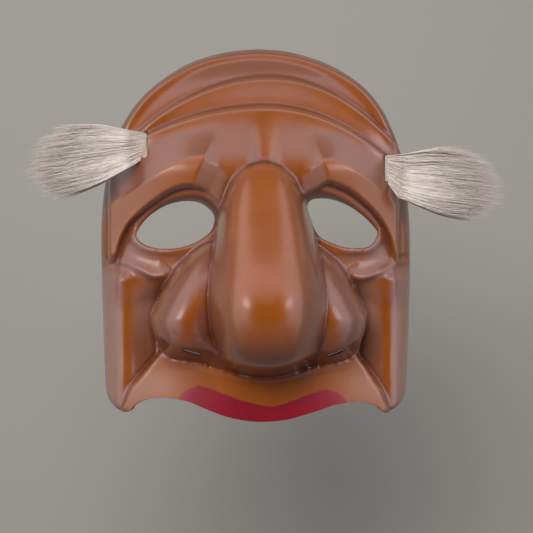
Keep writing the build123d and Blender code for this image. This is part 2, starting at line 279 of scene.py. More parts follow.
def table(rows, column=1):
    """Smooth function through a table's rows, sorted by their first number."""
    line = [(row[0], row[column]) for row in rows]
    smooth = smooth_line(line, steps=6)

    def look(place):
        if place <= smooth[0][0]:
            return smooth[0][1]
        for (ax, ay), (bx, by) in zip(smooth, smooth[1:]):
            if place <= bx:
                return ay + (by - ay) * (place - ax) / (bx - ax)
        return smooth[-1][1]

    return look


midline = table(MIDLINE)
nose_half = table(NOSE, 1)
nose_ridge = table(NOSE, 2)

left_side = smooth_line(LEFT_SIDE)
crown = smooth_line(CROWN)
right_side = smooth_line(RIGHT_SIDE)
lip_edge = smooth_line(LIP_EDGE)
outline = Line(left_side + crown[1:] + right_side[-2::-1] + lip_edge[-2:0:-1], closed=True)
walled_edge = Line(left_side + crown[1:] + right_side[-2::-1])

eyes = {-1: Line(smooth_line(EYE_LEFT, closed=True), closed=True),
        1: Line(smooth_line(EYE_RIGHT, closed=True), closed=True)}
pouches = {side: Line(smooth_line(points)) for side, points in POUCHES.items()}
brow_lines = {}
for side, (upper, inner, lower) in BROWS.items():
    upper = smooth_line(upper)
    lower = smooth_line(lower)
    brow_lines[side] = (Line(upper + inner[1:2]), Line(inner[1:] + lower[1:]),
                        Line(upper + inner[1:] + lower[1:], closed=True))
lip_crease = smooth_line(LIP_CREASE)
lip_plate = Line(LIP_LEFT[::-1] + lip_crease[1:] + LIP_RIGHT[1:] + [(71, -115), (-72, -115)], closed=True)
lip_crease = Line(lip_crease)
lip_sides = {-1: Line(LIP_LEFT), 1: Line(LIP_RIGHT)}


def capsule(centre, tilt, length, width, steps=7):
    """Outline of a slit with round ends."""
    turn = math.radians(tilt)
    points = []
    for end in (1, -1):
        for step in range(steps + 1):
            angle = math.pi * (step / steps - 0.5) + (0.0 if end == 1 else math.pi)
            x = end * (length - width) / 2 + math.cos(angle) * width / 2
            y = math.sin(angle) * width / 2
            points.append((centre[0] + x * math.cos(turn) - y * math.sin(turn),
                           centre[1] + x * math.sin(turn) + y * math.cos(turn)))
    return Line(points, closed=True)


slits = [capsule(*values) for values in SLITS]
slots = {side: capsule((x, y), 90, length, width) for side, (x, y, length, width) in SLOTS.items()}


# ---- relief of the face
def dome(x, y):
    across = math.sqrt(max(0.02, 1.0 - (x / DOME_HALF) ** 2))
    return DOME_FLOOR + (midline(y) - DOME_FLOOR) * across


def furrow(x):
    return math.exp(-abs((x - FURROW["middle"]) / FURROW["half"]) ** 2.6)


def forehead(x, y):
    height = 0.0
    for fold in FOLDS:
        off = x - fold["middle"]
        above = y - fold["top"] + fold["droop"][0 if off < 0 else 1] * off * off
        fade = 1.0 - ease(62.0, 76.0, abs(off))
        step = ease(-CREST_EDGE, CREST_EDGE, above)
        under = fold["rise"] * math.exp(min(above, 0.0) / fold["length"])
        over = -fold["groove"] * math.exp(-max(above, 0.0) / GROOVE_LENGTH)
        height += (under * (1.0 - step) + over * step) * fade
    return height - FURROW["depth"] * furrow(x) * min(1.0, max(0.0, (FURROW["top"] - y) / FURROW["length"]))


def facet(x, y):
    """How far a point is past the fold where a brow's plate turns down to the nose."""
    side = side_of(x)
    fold_x, lean, fold_y = BROW_FACETS[side]
    return max(0.0, (fold_x - x) * side + lean * (fold_y - y))


def brow(x, y):
    """The forehead swells up to each plate's upper crest. The plate is level, then turns down to the nose."""
    upper, lower, plate = brow_lines[side_of(x)]
    if plate.far(x, y, BROW_NEAR):
        return 0.0
    above = upper.measure(x, y)[0]
    below = lower.measure(x, y)[0]
    top = BROW_RISE - min(FACET_FALL * facet(x, y), FACET_DEEP)
    top *= ease(-17.0, -9.0, y)
    if plate.holds(x, y):
        return top * ease(-PLATE_EDGE, PLATE_EDGE, below)
    swell = math.exp(-above / BROW_SWELL) * (1.0 - ease(6.0, 26.0, above))
    wall = ease(-PLATE_EDGE, PLATE_EDGE, -below)
    share = ease(-BROW_BLEND, BROW_BLEND, below - above)
    return top * (wall + (swell - wall) * share)


def socket(height, x, y):
    eye = eyes[side_of(x)]
    if eye.far(x, y, SOCKET_NEAR):
        return height
    out = -eye.depth(x, y)
    past = max(out, 0.0)
    rim = EYE_RIM + 1.0 - EYE_RIM_BEND * (abs(x) - EYE_RIM_X) ** 2
    slope = SOCKET_SLOPES[0] + SOCKET_SLOPES[1] * ease(2.0, 11.0, y)
    hold = math.exp(-(past / SOCKET_REACH) ** 2)
    height += (min(height, rim + slope * past) - height) * hold
    height += LID_RISE * math.exp(-(past / LID_WIDTH) ** 2) * ease(6.0, -3.0, y)
    return height - EYE_ROUND * ease(1.4, -1.2, out)


def pouch(x, y):
    """The lower edge of the bag under each eye, soft above and sharp below."""
    line = pouches[side_of(x)]
    if line.far(x, y, POUCH_NEAR):
        return 0.0
    gap, along, side = line.measure(x, y)
    reach = POUCH_REACH[0 if side * side_of(x) < 0.0 else 1]
    ends = ease(0.0, 0.14, along) * (1.0 - ease(0.86, 1.0, along))
    return POUCH_RISE * math.exp(-gap / reach) * ends


def cheek(x, y):
    """A level ridge down each side of the face, which falls steeply inwards to the wing of the nose."""
    inner, outer = RIDGES[side_of(x)]
    inner -= RIDGE_SPREAD * ease(-40.0, -22.0, y)
    place = abs(x)
    deep = ease(-18.0, -58.0, y)
    past = soft_max(place - inner, 0.0, RIDGE_SOFT)
    beyond = soft_max(place - outer, 0.0, RIDGE_SOFT)
    rise = RIDGE_LIFT * (past - beyond) * math.exp(-max(place - outer, 0.0) / RIDGE_FADE)
    fall = min(soft_max(inner - place, 0.0, RIDGE_SOFT), HOLLOW_WIDTH)
    fall *= HOLLOW_SLOPES[0] + HOLLOW_SLOPES[1] * deep
    fall *= ease(40.0, 50.0, place) * ease(-20.0, -36.0, y) * ease(-98.0, -84.0, y)
    return rise * ease(-15.0, -24.0, y) - fall


def temple(x, y):
    """The side of the head, set back between the brow and the edge."""
    start, top = TEMPLES[side_of(x)]
    step = ease(0.0, 1.6, abs(x) - start)
    return -TEMPLE_DEPTH * step * ease(-14.5, -12.0, y) * ease(top, top - 10.0, y)


def lip_level(x, y):
    """Height of the lip's plate, which kicks up towards its free edge."""
    return LIP_HEIGHT + LIP_KICK * ease(-64.0, -95.0, y) - LIP_BEND * x * x + LIP_TILT * x


def lip(height, x, y):
    """Sets the lip's plate in. The nose and its wings meet it in one crease."""
    if y > LIP_TOP:
        return height
    gap, _, side = lip_crease.measure(x, y)
    level = lip_level(x, y)
    inside = lip_plate.holds(x, y)
    if not inside and side >= 0.0 and abs(x) < CREASE_HALF:
        over = max(height - level, 0.0)
        return min(height, level + over * min(1.0, gap / CREASE_WALL) ** CREASE_POWER)
    sides = min(line.measure(x, y)[0] for line in lip_sides.values())
    if not inside and sides > 1.0:
        return height
    roll = LIP_ROLL[0] * math.exp(-(gap / LIP_ROLL[1]) ** 2)
    step = ease(-PLATE_EDGE, PLATE_EDGE, sides if inside else -sides)
    return height + (level + roll - height) * step


def nose(x, y):
    if y <= NOSE[0][0] or y >= NOSE[-1][0]:
        return 0.0
    middle = NOSE_X + NOSE_DRIFT * ease(30.0, -30.0, y)
    across = abs(x - middle) / nose_half(y)
    if across >= 1.0:
        return 0.0
    section = (1.0 - across ** NOSE_POWERS[0]) ** NOSE_POWERS[1]
    return NOSE_BASE + (nose_ridge(y) - NOSE_BASE) * section


def wing(x, y):
    side = side_of(x)
    centre_x, centre_y = WINGS[side]
    across = (x - centre_x + side * WING_LEAN * max(y - centre_y, 0.0)) / WING_HALF
    along = (y - centre_y) / (WING_UP if y > centre_y else WING_DOWN)
    round_off = 1.0 - across * across - along * along
    if round_off <= 0.0:
        return 0.0
    return NOSE_BASE - WING_SINK + WING_TOP * round_off ** WING_POWER


def nose_foot(x, y):
    """The quarter round under the nose and its wings, down to the crease over the lip."""
    if y > -20.0 or y < -75.0 or x < FOOT_SIDES[0] or x > FOOT_SIDES[1]:
        return 0.0
    gap, _, side = lip_crease.measure(x, y)
    if side < 0.0:
        return 0.0
    rise = math.sqrt(1.0 - (1.0 - min(gap / FOOT_REACH, 1.0)) ** 2)
    rise *= ease(0.0, FOOT_SIDE_FADE, x - FOOT_SIDES[0]) * ease(0.0, FOOT_SIDE_FADE, FOOT_SIDES[1] - x)
    rise *= ease(24.0, 12.0, gap)
    return (NOSE_BASE + FOOT_LIFT + FOOT_RISE * rise) * ease(-28.0, -50.0, y)


def relief(x, y):
    """Height of the outside of the leather over the rim."""
    height = dome(x, y) + forehead(x, y) + brow(x, y) + pouch(x, y) + cheek(x, y) + temple(x, y)
    height = socket(height, x, y)
    mass = soft_max(nose(x, y), wing(x, y), NOSE_BLEND)
    height = soft_max(height, soft_max(mass, nose_foot(x, y), FOOT_BLEND), MASS_BLEND)
    height = lip(height, x, y)
    depth = walled_edge.measure(x, y)[0]
    rise, middle, width = RIM_BEAD
    height += rise * math.exp(-((depth - middle) / width) ** 2) * ease(44.0, 62.0, y)
    if depth < EDGE_ROUND:
        height -= EDGE_ROUND - math.sqrt(EDGE_ROUND ** 2 - (EDGE_ROUND - depth) ** 2)
    return max(height, LEAST_HEIGHT)


LATTICE_LOW = (-90.0, -102.0)
LATTICE_SIZE = (180.0, 208.0)


class Lattice:
    def __init__(self, function, step=1.0):
        self.low = LATTICE_LOW
        self.step = step
        self.columns = round(LATTICE_SIZE[0] / step) + 1
        self.rows = round(LATTICE_SIZE[1] / step) + 1
        self.values = [[function(self.low[0] + i * step, self.low[1] + j * step) for j in range(self.rows)]
                       for i in range(self.columns)]

    def look(self, x, y):
        u = min(max((x - self.low[0]) / self.step, 0.0), self.columns - 1.001)
        v = min(max((y - self.low[1]) / self.step, 0.0), self.rows - 1.001)
        i = int(u)
        j = int(v)
        u -= i
        v -= j
        near, far = self.values[i], self.values[i + 1]
        low = near[j] * (1 - u) + far[j] * u
        high = near[j + 1] * (1 - u) + far[j + 1] * u
        return low * (1 - v) + high * v


face = Lattice(relief)

BALL = [(0.0, 0.0, 1.0)]    # points on the top of a ball of radius 1, in rings
for share, count in ((0.5, 6), (0.9, 10)):
    for k in range(count):
        turn = math.tau * k / count
        BALL.append((share * math.cos(turn), share * math.sin(turn), math.sqrt(1.0 - share ** 2)))


def hollow(x, y, wall=LEATHER):
    """Height of the inside, as a ball of the wall's thickness rolls under the outside."""
    return min(face.look(x + wall * dx, y + wall * dy) - wall * up for dx, dy, up in BALL)


# ---- the leather shell
COLUMNS = 196
ROWS = 206


def spread(low, high, bands, count):
    """Places from low to high, closer together in the bands, as shares of the way."""
    steps = 400
    weights = []
    for k in range(steps):
        place = low + (high - low) * (k + 0.5) / steps
        weights.append(1.0 + sum(gain for start, end, gain in bands if start < place < end))
    total = sum(weights)
    shares = [0.0]
    run = 0.0
    target = 1
    for k, weight in enumerate(weights):
        while target <= count and run + weight >= total * target / count - 1e-9:
            shares.append((k + (total * target / count - run) / weight) / steps)
            target += 1
        run += weight
    shares[-1] = 1.0
    return shares


column_shares = spread(-84, 84, [(-56, -48, 0.7), (-28, -17, 1.6), (26, 37, 1.6), (50, 58, 0.7)], COLUMNS)
row_shares = spread(-93, 57, [(-76, -56, 0.9), (40, 57, 0.3)], ROWS)


def walk(line, share):
    """Point a share of the way along a line."""
    lengths = [math.dist(a, b) for a, b in zip(line, line[1:])]
    left = share * sum(lengths)
    for (ax, ay), (bx, by), length in zip(line, line[1:], lengths):
        if left <= length:
            return Vector((ax + (bx - ax) * left / length, ay + (by - ay) * left / length))
        left -= length
    return Vector(line[-1])


def lay_out(bm):
    """Stretches a flat grid over the outline, so that its rows follow the crown and the lip."""
    bottom = [walk(lip_edge, share) for share in column_shares]
    top = [walk(crown, share) for share in column_shares]
    left = [walk(left_side, share) for share in row_shares]
    right = [walk(right_side, share) for share in row_shares]
    for vert in bm.verts:
        i = round((vert.co.x + 1) / 2 * COLUMNS)
        j = round((vert.co.y + 1) / 2 * ROWS)
        u = column_shares[i]
        v = row_shares[j]
        place = bottom[i] * (1 - v) + top[i] * v + left[j] * (1 - u) + right[j] * u
        corners = (bottom[0] * (1 - u) + bottom[-1] * u) * (1 - v) + (top[0] * (1 - u) + top[-1] * u) * v
        place -= corners
        vert.co = (place.x, place.y, 0.0)


def cut(bm, hole, smooth_reach):
    """Cuts a hole of a given outline, and eases the mesh round it."""
    gone = [f for f in bm.faces if hole.holds(*f.calc_center_median().xy)]
    bmesh.ops.delete(bm, geom=gone, context="FACES")
    rim = [v for v in bm.verts if v.is_boundary and not hole.far(v.co.x, v.co.y, 2.0)]
    rim = [v for v in rim if hole.measure(v.co.x, v.co.y)[0] < 1.6]
    rim = [v for v in rim if outline.measure(v.co.x, v.co.y)[0] > 0.5]
    for vert in rim:
        x, y = hole.nearest(vert.co.x, vert.co.y)
        vert.co = (x, y, 0.0)
    near = [v for v in bm.verts if not v.is_boundary and not hole.far(v.co.x, v.co.y, smooth_reach)
            and hole.measure(v.co.x, v.co.y)[0] < smooth_reach]
    for _ in range(6):
        bmesh.ops.smooth_vert(bm, verts=near, factor=0.5, use_axis_x=True, use_axis_y=True)


def inset(x, y):
    """Where the inside of the leather lies behind a point of the outside, in plan."""
    gap = walled_edge.measure(x, y)[0]
    fade = 1.0 - ease(0.0, 9.0, gap)
    if fade <= 0.0:
        return x, y
    near_x, near_y = walled_edge.nearest(x, y)
    if gap < 0.05:
        ahead = walled_edge.measure(x, y)[1] * (len(walled_edge.points) - 1)
        i = min(max(int(ahead), 0), len(walled_edge.points) - 2)
        ax, ay = walled_edge.points[i]
        bx, by = walled_edge.points[i + 1]
        inward = Vector((by - ay, ax - bx)).normalized()
    else:
        inward = Vector((x - near_x, y - near_y)).normalized()
    return x + inward.x * LEATHER * fade, y + inward.y * LEATHER * fade


def make_shell():
    bm = bmesh.new()
    level = bm.verts.layers.float.new("level")
    plan = bm.verts.layers.float_vector.new("plan")
    bmesh.ops.create_grid(bm, x_segments=COLUMNS, y_segments=ROWS, size=1.0)
    lip_free = {v for v in bm.verts if v.co.y < -0.9999}
    lay_out(bm)
    walls = [e for e in bm.edges if e.is_boundary and not all(v in lip_free for v in e.verts)]
    for eye in eyes.values():
        cut(bm, eye, 4.0)
    for hole in list(slits) + list(slots.values()):
        cut(bm, hole, 2.2)
    for vert in bm.verts:
        vert.co.z = relief(vert.co.x, vert.co.y)
        vert[level] = 1.0
    inland = [v for v in bm.verts if not v.is_boundary]
    bmesh.ops.smooth_vert(bm, verts=inland, factor=0.5, use_axis_z=True)
    edges = walls
    for row in range(1, WALL_ROWS + 1):
        new = bmesh.ops.extrude_edge_only(bm, edges=edges)["geom"]
        fresh = [g for g in new if isinstance(g, bmesh.types.BMVert)]
        edges = [g for g in new if isinstance(g, bmesh.types.BMEdge) and all(v in fresh for v in g.verts)]
        for vert in fresh:
            top = relief(vert.co.x, vert.co.y)
            vert[level] = 1.0 - row / WALL_ROWS
            vert.co.z = top * vert[level]
    bmesh.ops.recalc_face_normals(bm, faces=bm.faces)
    outer = set(bm.verts)
    for vert in bm.verts:
        vert[plan] = vert.co
    bmesh.ops.solidify(bm, geom=bm.faces[:] + bm.edges[:] + bm.verts[:], thickness=LEATHER)
    inner = [v for v in bm.verts if v not in outer]
    for vert in inner:
        x, y, _ = vert[plan]
        new_x, new_y = inset(x, y)
        vert.co = (new_x, new_y, hollow(new_x, new_y) * vert[level])
    bmesh.ops.recalc_face_normals(bm, faces=bm.faces)
    bmesh.ops.scale(bm, vec=(MM, MM, MM), verts=bm.verts)
    return finish_mesh(bm, "mask_leather")


def finish_mesh(bm, name):
    mesh = bpy.data.meshes.new(name)
    bm.to_mesh(mesh)
    bm.free()
    for polygon in mesh.polygons:
        polygon.use_smooth = True
    piece = bpy.data.objects.new(name, mesh)
    bpy.context.collection.objects.link(piece)
    return piece


# ---- shader maths
class Shade:
    """A shader value. Sums on it add Math nodes."""

    def __init__(self, nodes, socket):
        self.nodes = nodes
        self.socket = socket

    def sum(self, operation, first, second=None):
        return self.nodes.add("ShaderNodeMath", {"operation": operation}, {0: first, 1: second})

    def __add__(self, other):
        return self.sum("ADD", self, other)

    __radd__ = __add__

    def __sub__(self, other):
        return self.sum("SUBTRACT", self, other)

    def __rsub__(self, other):
        return self.sum("SUBTRACT", other, self)

    def __mul__(self, other):
        return self.sum("MULTIPLY", self, other)

    __rmul__ = __mul__

    def __truediv__(self, other):
        return self.sum("DIVIDE", self, other)


class Finish:
    """A material under construction."""

    def __init__(self, name):
        self.material = bpy.data.materials.new(name)
        self.material.use_nodes = True
        self.tree = self.material.node_tree
        self.shader = self.tree.nodes["Principled BSDF"]
        self.place = self.add("ShaderNodeTexCoord", {}, {}, "Object")

    def add(self, kind, settings, values, output=0):
        node = self.tree.nodes.new(kind)
        for key, value in settings.items():
            if key == "stops":
                ramp = node.color_ramp
                while len(ramp.elements) < len(value):
                    ramp.elements.new(0.5)
                for element, (place, colour) in zip(ramp.elements, value):
                    element.position = place
                    element.color = colour
            elif key == "interpolation":
                node.color_ramp.interpolation = value
            else:
                setattr(node, key, value)
        for key, value in values.items():
            if value is None:
                continue
            if isinstance(value, Shade):
                self.tree.links.new(value.socket, node.inputs[key])
            else:
                node.inputs[key].default_value = value
        return Shade(self, node.outputs[output])

    def set(self, name, value):
        if isinstance(value, Shade):
            self.tree.links.new(value.socket, self.shader.inputs[name])
        else:
            self.shader.inputs[name].default_value = value

    def noise(self, scale, detail=3.0, place=None, roughness=0.5):
        return self.add("ShaderNodeTexNoise", {}, {"Vector": place or self.place, "Scale": scale,
                                                   "Detail": detail, "Roughness": roughness})

    def ramp(self, value, stops, interpolation="EASE"):
        settings = {"stops": stops, "interpolation": interpolation}
        return self.add("ShaderNodeValToRGB", settings, {"Fac": value})

    def between(self, value, low, high):
        return self.add("ShaderNodeMapRange", {"interpolation_type": "SMOOTHSTEP"},
                        {"Value": value, "From Min": low, "From Max": high})

    def mix(self, share, first, second):
        return self.add("ShaderNodeMix", {"data_type": "RGBA"}, {0: share, 6: first, 7: second}, 2)

    def axes(self):
        node = self.tree.nodes.new("ShaderNodeSeparateXYZ")
        self.tree.links.new(self.place.socket, node.inputs[0])
        return [Shade(self, out) for out in node.outputs]

    def bump(self, height, strength, distance, normal=None):
        return self.add("ShaderNodeBump", {}, {"Height": height, "Strength": strength, "Distance": distance,
                                               "Normal": normal})

    def attribute(self, name):
        return self.add("ShaderNodeAttribute", {"attribute_name": name}, {}, "Fac")


def grey(value):
    return (value, value, value, 1.0)


# ---- leather: edge of the red paint on the lip, from the left end to the right
LIP_PAINT = [(-43.5, -99.9), (-43, -90), (-39.1, -82.4), (-33.7, -78.4), (-29.3, -77.2), (-23.9, -78.2),
             (-15.5, -81.5), (-7.2, -84.4), (3, -86.8), (9, -87.3), (15.8, -85.6), (22.7, -83), (29.3, -80.6),
             (36.5, -78.9), (41.7, -80.6), (46.1, -84.6), (48.6, -90), (49, -99.9)]
PAINT_SPAN = (-50.0, 50.0)
PAINT_LOW = -100.0
PAINT_HIGH = -70.0
TAN = ((0.35, 0.090, 0.004, 1), (0.29, 0.070, 0.004, 1))
# painted reflection: the pale mauve sheen that the leather's slopes would reflect
SLOPE_SHEEN = (0.22, 0.088, 0.055, 1)
# painted shade on the slopes that face the chin
UNDERSIDE_SHADE = (0.13, 0.028, 0.006, 1)
SPECK = (0.22, 0.052, 0.006, 1)
# painted shade in the valleys and creases
VALLEY_SHADE = (0.13, 0.022, 0.003, 1)
# painted reflection: the pale sheen on the sides of the cheeks and on the brows' turned facets
PALE_SHEEN = (0.43, 0.245, 0.185, 1)
# painted shade: near black round the nostril slits
SLIT_SHADE = (0.012, 0.007, 0.005, 1)
# painted highlight along the crests
CREST_HIGHLIGHT = (0.50, 0.22, 0.07, 1)
RED = ((0.30, 0.006, 0.022, 1), (0.22, 0.005, 0.016, 1))
RAW = ((0.36, 0.22, 0.12, 1), (0.27, 0.155, 0.08, 1))
HAIR = ((0.86, 0.80, 0.75, 1), (0.76, 0.69, 0.63, 1))
YELLOWED_HAIR = (0.78, 0.68, 0.58, 1)
SKIN = ((0.55, 0.46, 0.35, 1), (0.42, 0.33, 0.23, 1))
BRASS = ((0.62, 0.43, 0.17, 1), (0.36, 0.24, 0.10, 1))


def leather_finish():
    finish = Finish("burnished_leather")
    x, y, _ = finish.axes()
    span = PAINT_SPAN[1] - PAINT_SPAN[0]
    share = (x * (1.0 / MM) - PAINT_SPAN[0]) / span
    rise = PAINT_HIGH - PAINT_LOW
    stops = [((px - PAINT_SPAN[0]) / span, grey((py - PAINT_LOW) / rise)) for px, py in LIP_PAINT]
    edge = finish.ramp(share, stops, "LINEAR") * rise + PAINT_LOW
    wobble = finish.noise(260.0, 2.0) - 0.5
    above = y * (1.0 / MM) - edge + wobble
    paint = finish.between(above, 0.45, -0.35) * finish.between(finish.attribute("outside"), 0.4, 0.6)
    cavity = finish.attribute("cavity")
    crest = finish.attribute("crest")
    mottle = finish.noise(38.0, 5.0)
    fine = finish.noise(900.0, 4.0)
    tan = finish.mix(finish.between(mottle, 0.3, 0.7), *TAN)
    # painted reflection: the steeper slopes are mixed towards a pale mauve sheen
    tan = finish.mix(finish.attribute("dye") * 0.75, tan, SLOPE_SHEEN)
    # painted shade darkens the slopes that face the chin
    tan = finish.mix(finish.attribute("shade") * 0.6, tan, UNDERSIDE_SHADE)
    tan = finish.mix(finish.between(fine, 0.35, 0.75) * 0.3, tan, SPECK)
    # painted shade darkens the valleys and creases
    tan = finish.mix(cavity * 0.75, tan, VALLEY_SHADE)
    # painted reflection lightens the cheek sides and the brows' turned facets
    tan = finish.mix(finish.attribute("pale") * 0.7, tan, PALE_SHEEN)
    # painted shade darkens the leather round the nostril slits
    tan = finish.mix(finish.attribute("scorch") * 0.95, tan, SLIT_SHADE)
    # painted highlight lightens the crests
    tan = finish.mix(crest * 0.2, tan, CREST_HIGHLIGHT)
    red = finish.mix(finish.between(mottle, 0.35, 0.7), *RED)
    colour = finish.mix(paint, tan, red)
    raw = finish.mix(finish.between(finish.noise(160.0, 6.0), 0.3, 0.7), *RAW)
    outside = finish.between(finish.attribute("outside"), 0.3, 0.7)
    colour = finish.mix(outside, raw, colour)
    finish.set("Base Color", colour)
    rough = 0.31 + (mottle - 0.5) * 0.08 + cavity * 0.10 + (1.0 - outside) * 0.40
    finish.set("Roughness", rough)
    finish.set("Coat Weight", outside * 0.6)
    finish.set("Coat Roughness", 0.2)
    finish.set("Coat IOR", 1.6)
    finish.set("IOR", 1.85)
    pores = finish.add("ShaderNodeTexVoronoi", {"feature": "DISTANCE_TO_EDGE"},
                       {"Vector": finish.place, "Scale": 1300.0})
    nap = finish.noise(700.0, 6.0, roughness=0.7)
    grain = pores * outside + nap * (1.0 - outside) * 3.0
    normal = finish.bump(grain, 0.10, 0.0004)
    normal = finish.bump(finish.noise(120.0, 2.0), 0.06, 0.001, normal)
    finish.set("Normal", normal)
    return finish.material


def hair_finish():
    finish = Finish("goat_hair")
    stretch = finish.add("ShaderNodeMapping", {}, {"Vector": finish.place, "Scale": (40.0, 600.0, 600.0)})
    strand = finish.noise(1.0, 3.0, stretch)
    lock = finish.noise(160.0, 2.0)
    colour = finish.mix(finish.between(strand, 0.3, 0.7), *HAIR)
    colour = finish.mix(finish.between(lock, 0.4, 0.7) * 0.3, colour, YELLOWED_HAIR)
    finish.set("Base Color", colour)
    finish.set("Roughness", 0.55 + (strand - 0.5) * 0.1)
    finish.set("Specular IOR Level", 0.35)
    return finish.material


def hide_finish():
    finish = Finish("raw_skin")
    mottle = finish.noise(220.0, 5.0)
    finish.set("Base Color", finish.mix(finish.between(mottle, 0.3, 0.7), *SKIN))
    finish.set("Roughness", 0.75 + (mottle - 0.5) * 0.2)
    finish.set("Normal", finish.bump(finish.noise(900.0, 5.0), 0.3, 0.0003))
    return finish.material


def brass_finish():
    finish = Finish("dull_brass")
    wear = finish.noise(500.0, 4.0)
    finish.set("Base Color", finish.mix(finish.between(wear, 0.35, 0.7), *BRASS))
    finish.set("Metallic", 1.0)
    finish.set("Roughness", 0.32 + (wear - 0.5) * 0.25)
    return finish.material


SLOPE_STEP = 1.5            # half the distance over which a slope is measured
RING = 3.0                  # radius of the ring whose height tells a valley from a crest
SLIT_BAND = (-66.0, -52.0)  # the painted shade round the nostril slits lies between these


def paint_attributes(piece):
    """Marks the outside, and paints light and shade into the leather's colour: painted shade in the valleys,
    on slopes that face the chin and round the nostril slits, a painted highlight on the crests, and painted
    reflection on the slopes, the cheek sides and the brows' turned facets.
    """
    mesh = piece.data
    names = ("outside", "cavity", "crest", "dye", "shade", "scorch", "pale")
    for name in names:
        mesh.attributes.new(name, "FLOAT", "POINT")
    outside, cavity, crest, dye, shade, scorch, pale = (mesh.attributes[name] for name in names)
    ring = [(math.cos(math.tau * k / 8), math.sin(math.tau * k / 8)) for k in range(8)]
    for vert in mesh.vertices:
        x, y, z = (value / MM for value in vert.co)
        top = face.look(x, y)
        out = z > top - LEATHER * 0.45 or outline.measure(x, y)[0] < 0.3
        outside.data[vert.index].value = 1.0 if out else 0.0
        # how far a point lies below the ring round it; this drives the painted shade in the valleys
        wide = sum(face.look(x + RING * dx, y + RING * dy) for dx, dy in ring) / 8 - top
        if nose(x, y) > NOSE_BASE and wing(x, y) > NOSE_BASE:
            wide *= 0.15
        cavity.data[vert.index].value = min(1.0, max(0.0, (wide - 0.35) / 1.8))
        # painted highlight: how high a crest stands over the ring round it
        crest.data[vert.index].value = min(1.0, max(0.0, (-wide - 0.5) / 1.5))
        across = abs(face.look(x + SLOPE_STEP, y) - face.look(x - SLOPE_STEP, y)) / (2 * SLOPE_STEP)
        down = (face.look(x, y + SLOPE_STEP) - face.look(x, y - SLOPE_STEP)) / (2 * SLOPE_STEP)
        # painted reflection: how much pale mauve sheen each slope gets, by its steepness, and on the nose by
        # its side slopes
        if nose(x, y) > top - 2.0:
            dye.data[vert.index].value = 0.6 * ease(0.7, 2.0, across)
        else:
            slope = ease(0.18, 0.55, math.hypot(across, min(down, 0.0)))
            sheen_free = furrow(x) * ease(38.0, 44.0, y) * ease(66.0, 60.0, y)
            dye.data[vert.index].value = slope * (1.0 - sheen_free)
        # painted shade: the more steeply a slope faces the chin, the darker it is
        shade.data[vert.index].value = ease(0.3, 1.3, down)
        if lip_plate.holds(x, y):
            dye.data[vert.index].value *= 0.2
        turned = 0.0
        # painted reflection also on each brow plate where it turns down to the nose
        if brow_lines[side_of(x)][2].holds(x, y):
            turned = ease(0.0, 2.0, facet(x, y))
            dye.data[vert.index].value = turned
        # painted reflection on the cheek sides, on the inner cheek slopes and on the brows' turned facets
        band = ease(70.0, 76.0, abs(x)) * ease(-12.0, -26.0, y)
        slope = 0.5 * ease(50.0, 56.0, abs(x)) * ease(68.0, 62.0, abs(x))
        slope *= ease(-66.0, -40.0, y) * ease(-22.0, -32.0, y)
        pale.data[vert.index].value = max(band, 0.35 * turned, slope)
        # painted shade round the nostril slits, strongest at their edges
        if SLIT_BAND[0] < y < SLIT_BAND[1]:
            scorch.data[vert.index].value = ease(2.2, 0.5, min(slit.measure(x, y)[0] for slit in slits))


# ---- hair: the way from a tuft's root to its tip, and how far its middle is moved up the slot
TUFTS = {
    "left": {"tip": (-63.0, -11.5, -3.0), "shift": -1.2, "seed": 11},
    "right": {"tip": (62.0, -8.0, 0.0), "shift": -4.0, "seed": 12},
}
STRANDS = 3200
LOCKS = 70
FAN = {                     # share of the tuft's length, half width, half depth
    "left": [(0.0, 6.6, 1.6), (0.2, 11.6, 3.6), (0.4, 15.4, 5.0), (0.75, 17.2, 5.2), (1.0, 15.0, 4.6)],
    "right": [(0.0, 10.0, 1.6), (0.15, 12.0, 3.6), (0.42, 16.2, 5.0), (0.75, 15.6, 5.2), (1.0, 13.0, 4.6)],
}
STRAND = 0.13               # radius of a strand at its root
TAPER = (1.0, 1.0, 0.95, 0.8, 0.6, 0.2)


